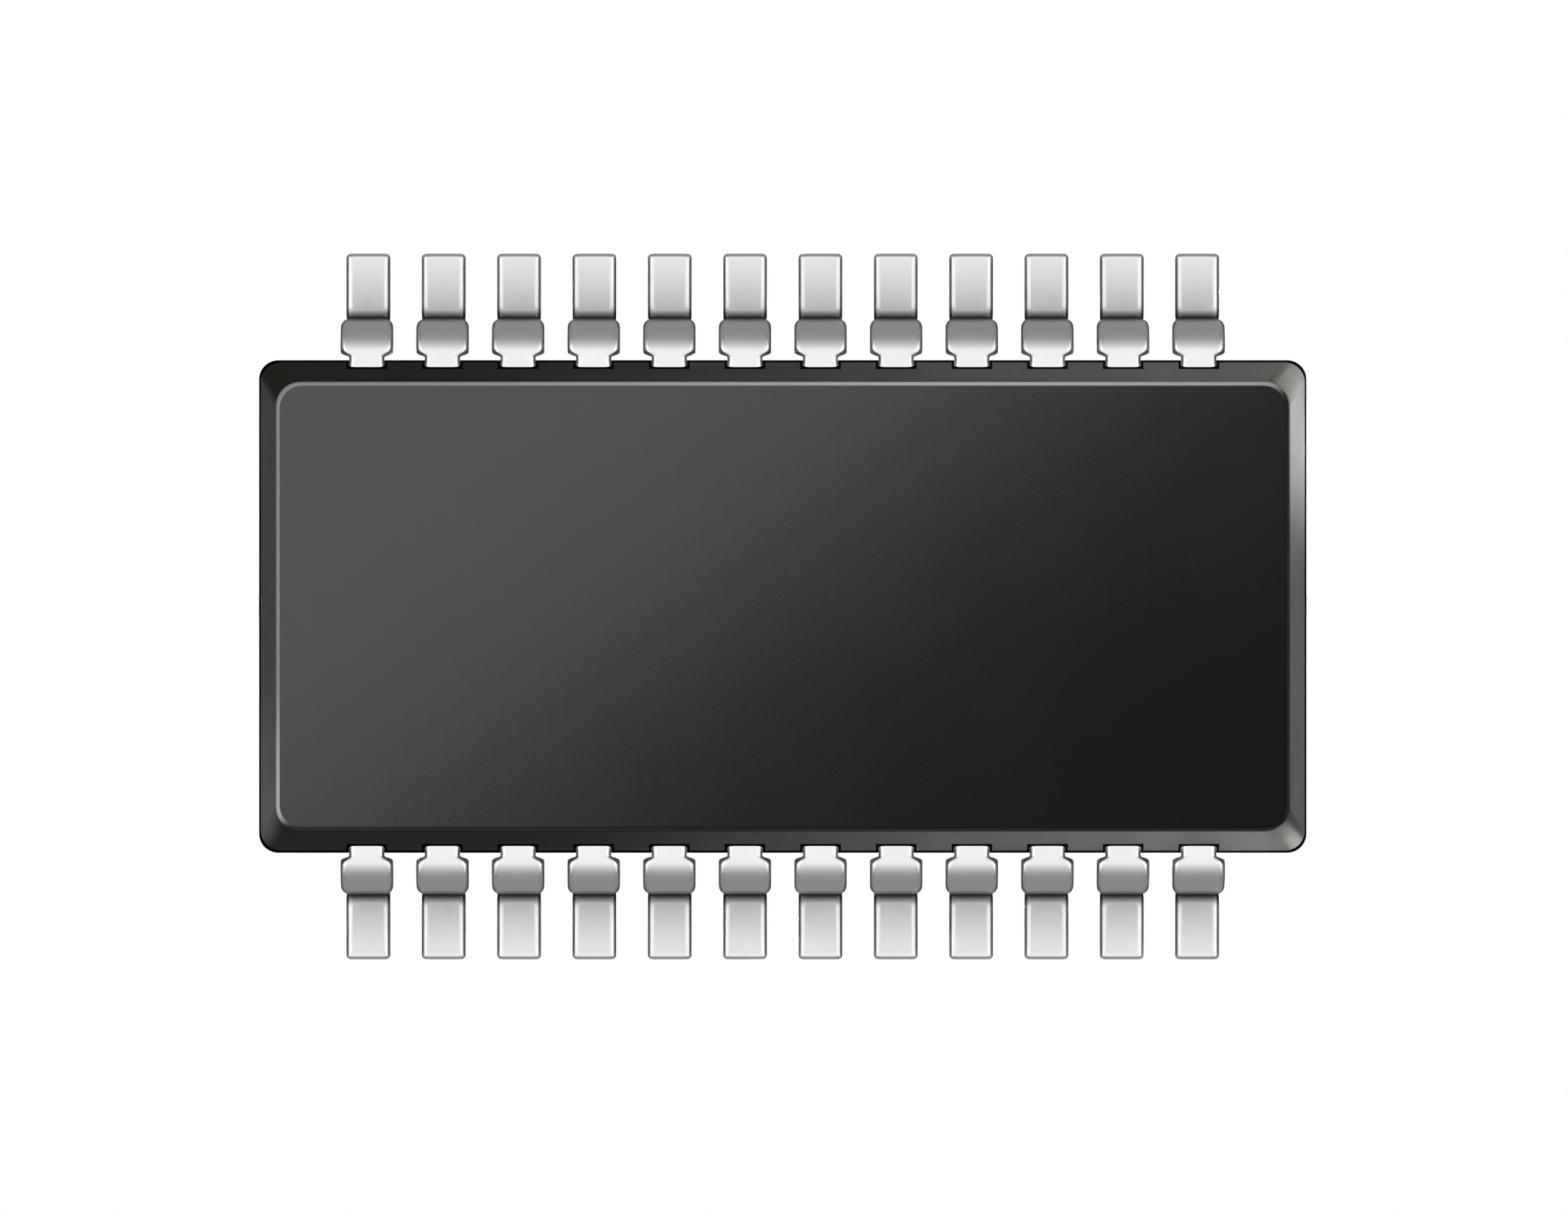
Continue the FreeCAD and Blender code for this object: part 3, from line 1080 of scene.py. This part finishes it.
@dataclass
class LeadSet:
    """All the leads, in two rows on one pitch."""

    form: LeadForm
    paddle_length: float = 2.70
    paddle_width: float = 1.60
    finger_pitch: float = 0.356
    finger_clearance: float = 0.22
    corner_advance: float = 0.16
    end_advance: float = 0.60
    end_clearance: float = 0.40

    def finger(self, index: int) -> tuple[float, Vector]:
        """Find where a lead of the back row stands and where its finger ends.

        Args:
            index: The lead's place in the row, from the left.

        Returns:
            The lead's X and the end of its finger.
        """
        x = (index - (LEADS_PER_ROW - 1) / 2) * LEAD_PITCH
        side = math.copysign(1.0, x)
        place = int(abs(x) / LEAD_PITCH)
        last = LEADS_PER_ROW // 2 - 1
        row_y = self.paddle_width / 2 + self.finger_clearance
        end_x = self.paddle_length / 2 + self.end_clearance
        if place == last:
            return x, Vector((side * end_x, row_y - self.end_advance, 0.0))
        if place == last - 1:
            corner = self.corner_advance
            return x, Vector((side * (end_x - corner), row_y - corner, 0.0))
        return x, Vector((side * (place + 0.5) * self.finger_pitch, row_y, 0.0))

    def build_lead(self, index: int, row: Row, materials: list[bpy.types.Material]) -> bpy.types.Object:
        """Build one lead in its place.

        Args:
            index: The lead's place in the back row from the left, or in the front row from the right.
            row: The row.
            materials: The plating and the bare metal of the cut tip.

        Returns:
            The lead's object.
        """
        x, finger = self.finger(index)
        number = (2 if row is Row.BACK else 1) * LEADS_PER_ROW - index
        piece = self.form.build(f"plated_lead_{number:02d}", finger - Vector((x, 0.0, 0.0)))
        for vertex in piece.work.verts:
            vertex.co.x += x * MM
            if row is Row.FRONT:
                vertex.co.x, vertex.co.y = -vertex.co.x, -vertex.co.y
        lead = piece.finish(*materials)
        shade(lead, LEAD_SHARP_ANGLE)
        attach(lead, "root")
        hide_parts(f"lead_{number:02d}")
        lead.visible_glossy = False  # the dark skirts show no image of the necks
        log.info("lead %02d: %d faces", number, len(lead.data.polygons))
        return lead

    def build(self, materials: list[bpy.types.Material]) -> list[bpy.types.Object]:
        """Build both rows.

        Args:
            materials: The plating and the bare metal of the cut tip.

        Returns:
            The leads.
        """
        return [
            self.build_lead(index, row, materials)
            for row in (Row.BACK, Row.FRONT)
            for index in range(LEADS_PER_ROW)
        ]


@dataclass
class MouldedBody:
    """The moulded body, cast round the leads and the pieces inside it."""

    form: BodyForm

    def join_copies(self, name: str, pieces: list[bpy.types.Object]) -> bpy.types.Object:
        """Return one cutter made of copies of the pieces.

        Args:
            name: The cutter's name.
            pieces: The pieces to copy. They don't touch each other.

        Returns:
            The cutter.
        """
        work = bmesh.new()
        for piece in pieces:
            work.from_mesh(piece.data)
        bmesh.ops.remove_doubles(work, verts=work.verts, dist=MERGE_DISTANCE)
        mesh = bpy.data.meshes.new(name)
        work.to_mesh(mesh)
        work.free()
        cutter = bpy.data.objects.new(name, mesh)
        bpy.context.scene.collection.objects.link(cutter)
        return cutter

    def cut(self, body: bpy.types.Object, cutter: bpy.types.Object) -> None:
        """Cut a cutter out of the body, and delete the cutter.

        Args:
            body: The body.
            cutter: The cutter.
        """
        cutting = body.modifiers.new("cut", "BOOLEAN")
        cutting.operation = "DIFFERENCE"
        cutting.solver = "EXACT"
        cutting.object = cutter
        apply_modifiers(body)
        mesh = cutter.data
        bpy.data.objects.remove(cutter)
        bpy.data.meshes.remove(mesh)

    def build(self, leads: list[bpy.types.Object], *materials: bpy.types.Material) -> bpy.types.Object:
        """Build the body round the other pieces.

        Args:
            leads: The leads that it holds.
            *materials: The moulding compound, and the near-black compound painted as shadow on its
                        seams.

        Returns:
            The body's object.
        """
        body = self.form.build_hull()
        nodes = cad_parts
        self.cut(body, self.join_copies("lead_cutter", leads))
        for name in ("die_paddle", "die_attach", "silicon_die"):
            self.cut(body, self.join_copies(f"{name}_cutter", [nodes[name]]))
        wires = [node for name, node in nodes.items() if name.startswith("bond_wire")]
        self.cut(body, self.join_copies("wire_cutter", wires))
        for side in (-1, 1):
            self.cut(body, self.form.build_mark(side))
        body.name = body.data.name = "moulded_shell"
        body.data.materials.clear()
        for material in materials:
            body.data.materials.append(material)
        # The seam faces get the near-black compound, which is a painted shadow.
        for face in body.data.polygons:
            face.material_index = int(self.form.in_seam_shadow(face.center))
        shade(body, BODY_SHARP_ANGLE)
        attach(body, "root")
        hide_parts("mould_body")
        log.info("moulded shell: %d faces", len(body.data.polygons))
        return body


@dataclass
class InnerPieces:
    """The pieces sealed in the body, which keep their solids and get their finishes."""

    def dress(self, effects: Effects) -> list[bpy.types.Object]:
        """Give each inner piece its material.

        Args:
            effects: The shared node groups.

        Returns:
            The inner pieces.
        """
        dressed = []
        copper = FRAME_COPPER.make(effects)
        gold = GOLD.make(effects)
        finishes = {
            "die_paddle": copper,
            "die_attach": ADHESIVE.make(effects),
            "silicon_die": SILICON.make(effects),
        }
        for name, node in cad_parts.items():
            material = gold if name.startswith("bond_wire") else finishes.get(name)
            if material is None:
                continue
            node.data.materials.clear()
            node.data.materials.append(material)
            dressed.append(node)
            log.info("inner piece %s dressed", name)
        return dressed


@dataclass(frozen=True)
class Panel:
    """A soft studio panel. Sizes and places are in millimetres."""

    name: str
    centre: Place
    aim: Place
    size: Point
    radiance: float
    turn: float = 0.0
    fade: float = 1.0
    rise: Point = (0.0, 1.0)
    sampled: bool = True
    colour: Colour = WHITE

    def build(self, receivers: bpy.types.Collection) -> bpy.types.Object:
        """Build the panel, out of the camera's sight.

        Args:
            receivers: The pieces that it lights, which alone cast shadows in its light.

        Returns:
            The light's object.
        """
        lamp = bpy.data.lights.new(self.name, "AREA")
        lamp.shape = "RECTANGLE"
        lamp.size = self.size[0] * MM
        lamp.size_y = self.size[1] * MM
        lamp.energy = self.radiance * math.pi * lamp.size * lamp.size_y
        lamp.color = self.colour
        lamp.cycles.use_multiple_importance_sampling = self.sampled
        if self.fade != 1.0:
            self.shade_along(lamp)
        panel = bpy.data.objects.new(self.name, lamp)
        panel.location = Vector(self.centre) * MM
        look = Vector(self.aim) - Vector(self.centre)
        roll = Quaternion((0.0, 0.0, 1.0), math.radians(self.turn))
        panel.rotation_euler = (look.to_track_quat("-Z", "Y") @ roll).to_euler()
        panel.visible_camera = False
        bpy.context.scene.collection.objects.link(panel)
        panel.light_linking.receiver_collection = receivers
        panel.light_linking.blocker_collection = receivers
        return panel

    def shade_along(self, lamp: bpy.types.Light) -> None:
        """Let the radiance rise along the panel, over the given part of its length.

        Args:
            lamp: The panel's light.
        """
        lamp.use_nodes = True
        plan = NodePlan(lamp.node_tree)
        place = plan.add("ShaderNodeNewGeometry").outputs["Parametric"]
        along = plan.add("ShaderNodeSeparateXYZ", Vector=place).outputs[0]
        strength = plan.span(along, *self.rise, self.fade, 1.0)
        glow = plan.add("ShaderNodeEmission", Strength=strength)
        plan.add("ShaderNodeOutputLight", Surface=glow.outputs[0])


def wall(name: str, centre: Place, aim_height: float, size: Point, radiance: float) -> Panel:
    """Make a far panel that faces a point over the middle of the object."""
    return Panel(name, centre, (0.0, 0.0, aim_height), size, radiance)


def card(name: str, x: float, y: float, size: Point, radiance: float, **more: object) -> Panel:
    """Make a small warm-white panel just over the floor, which faces up."""
    centre, aim = (x, y, CARD_HEIGHT), (x, y, CARD_AIM)
    return Panel(name, centre, aim, size, radiance, sampled=False, colour=CARD_WHITE, **more)


LEAD_PANELS = (
    wall("lead_zenith", (0.0, 0.0, 60.0), 0.0, (120.0, 66.0), 0.49),
    wall("lead_ceiling", (0.0, 0.0, 61.0), 0.0, (120.0, 132.0), 0.57),
    wall("lead_left", (-70.0, 0.0, 38.0), 20.0, (110.0, 48.0), 1.5),
    wall("lead_right", (70.0, 0.0, 38.0), 20.0, (110.0, 48.0), 1.5),
    wall("lead_back", (0.0, 70.0, 28.0), 20.0, (110.0, 64.0), 0.248),
    wall("lead_front", (0.0, -70.0, 28.0), 20.0, (110.0, 64.0), 0.248),
    Panel("back_floor", (0.0, 13.15, 0.02), (0.0, 13.15, 9.0), (30.0, 20.3), 0.24),
    Panel("front_floor", (0.0, -13.15, 0.02), (0.0, -13.15, 9.0), (30.0, 20.3), 0.24),
    Panel("lead_under", (0.0, 0.0, -0.3), (0.0, 0.0, 9.0), (8.6, 6.8), 0.14, sampled=False),
)

BODY_PANELS = (
    Panel("body_key", (-2.60, 3.47, 5.6), (-2.60, 3.47, 0.0), (8.0, 24.0), 1.97, turn=-53.8),
    wall("body_zenith", (0.0, 0.0, 60.0), 0.0, (40.0, 40.0), 0.10),
    card("left_card", -5.4, -0.3, (4.6, 1.6), 0.62, turn=-90.0, fade=0.373, rise=(0.5, 0.95)),
    card("right_card", 5.4, 0.6, (5.6, 1.6), 3.25, turn=90.0, fade=0.175, rise=(0.44, 0.676)),
    card("corner_card", 4.85, -2.55, (0.55, 0.55), 7.5, turn=45.0),
    card("back_card", 0.0, 2.9, (9.4, 1.6), 0.84, turn=180.0, fade=0.0, rise=(0.16, 1.15)),
    card("front_card", 0.0, -2.9, (9.4, 1.6), 1.85, turn=180.0, fade=0.03, rise=(0.22, 1.25)),
    Panel("body_under", (0.0, 0.0, 0.03), (0.0, 0.0, 9.0), (8.0, 3.7), 0.9, sampled=False),
    wall("body_left", (-70.0, 0.0, 20.0), 0.0, (90.0, 40.0), 0.6),
    wall("body_right", (70.0, 0.0, 20.0), 0.0, (90.0, 40.0), 0.8),
    wall("body_back", (0.0, 70.0, 20.0), 0.0, (110.0, 40.0), 0.6),
    wall("body_front", (0.0, -70.0, 20.0), 0.0, (110.0, 40.0), 0.8),
)


@dataclass
class Studio:
    """The floor, the soft lights, the pale surroundings and the camera straight above."""

    scale_um: float = 6.031
    focal_length: float = 600.0
    sensor: float = 36.0
    nearest: float = 0.005
    farthest: float = 10.0
    aim_height: float = 0.84
    body_left_px: float = 1.75
    body_below_px: float = 2.1
    floor_size: float = 400.0
    floor_z: float = -0.004
    white: Colour = (1.0, 0.998, 0.995)
    floor_bounce: float = 0.045
    world_bounce: float = 0.03

    def build_camera(self) -> None:
        """Build the long-lens camera that looks straight down."""
        data = bpy.data.cameras.new("camera")
        data.lens = self.focal_length
        data.sensor_width = self.sensor
        data.clip_start = self.nearest
        data.clip_end = self.farthest
        camera = bpy.data.objects.new("camera", data)
        pixel = self.scale_um / 1000.0
        width = PHOTO_WIDTH * pixel
        distance = width * self.focal_length / self.sensor
        place = (self.body_left_px * pixel, self.body_below_px * pixel, self.aim_height + distance)
        camera.location = Vector(place) * MM
        bpy.context.scene.collection.objects.link(camera)
        bpy.context.scene.camera = camera

    def build_floor(self) -> None:
        """Build the floor, which the camera doesn't see, so it hides nothing from below."""
        half = self.floor_size / 2
        piece = MeshPiece("studio_floor")
        signs = ((-1, -1), (1, -1), (1, 1), (-1, 1))
        piece.cap(piece.ring([Vector((x * half, y * half, self.floor_z)) for x, y in signs]))
        material = bpy.data.materials.new("studio_floor")
        material.use_nodes = True
        plan = NodePlan(material.node_tree)
        bounce = plan.add("ShaderNodeEmission", Strength=self.floor_bounce)
        plan.add("ShaderNodeOutputMaterial", Surface=bounce.outputs[0])
        floor = piece.finish(material)
        floor.visible_camera = False
        floor.visible_shadow = False

    def build_world(self) -> None:
        """Build the surroundings: dim on the object, and a plain pale white to the camera."""
        world = bpy.data.worlds.new("studio")
        world.use_nodes = True
        bpy.context.scene.world = world
        plan = NodePlan(world.node_tree)
        rays = plan.add("ShaderNodeLightPath")
        strength = plan.span(rays.outputs["Is Camera Ray"], 0.0, 1.0, self.world_bounce, 1.0)
        sky = plan.add("ShaderNodeBackground", Color=(*self.white, 1.0), Strength=strength)
        plan.add("ShaderNodeOutputWorld", Surface=sky.outputs[0])

    def build_lights(self, name: str, lit: list[bpy.types.Object], panels: tuple[Panel, ...]) -> None:
        """Build panels that light only some of the pieces.

        Args:
            name: The name of the collection of pieces.
            lit: The pieces.
            panels: The panels.
        """
        receivers = bpy.data.collections.new(name)
        for piece in lit:
            receivers.objects.link(piece)
        for panel in panels:
            panel.build(receivers)

    def build(self, body: list[bpy.types.Object], leads: list[bpy.types.Object]) -> None:
        """Build the whole studio.

        Args:
            body: The moulded body and the pieces in it.
            leads: The leads.
        """
        self.build_camera()
        self.build_floor()
        self.build_world()
        self.build_lights("lit_leads", leads, LEAD_PANELS)
        self.build_lights("lit_body", body, BODY_PANELS)
        settings = bpy.context.scene.view_settings
        settings.view_transform = "Standard"
        settings.look = "None"


def main() -> None:
    """Build and dress the pieces in order, then the studio."""
    logging.basicConfig(level=logging.INFO, format="%(message)s")
    effects = Effects()
    plating = PlateFinish().make(effects)
    copper = CUT_COPPER.make(effects)
    leads = LeadSet(LeadForm()).build([plating, copper])
    # The second material is the near-black compound painted as shadow on the seams.
    compound, seams = CompoundFinish().make(effects), SEAM_SHADOW.make(effects)
    body = MouldedBody(BodyForm()).build(leads, compound, seams)
    inner = InnerPieces().dress(effects)
    Studio().build([body, *inner], leads)


if __name__ == "__main__":
    main()
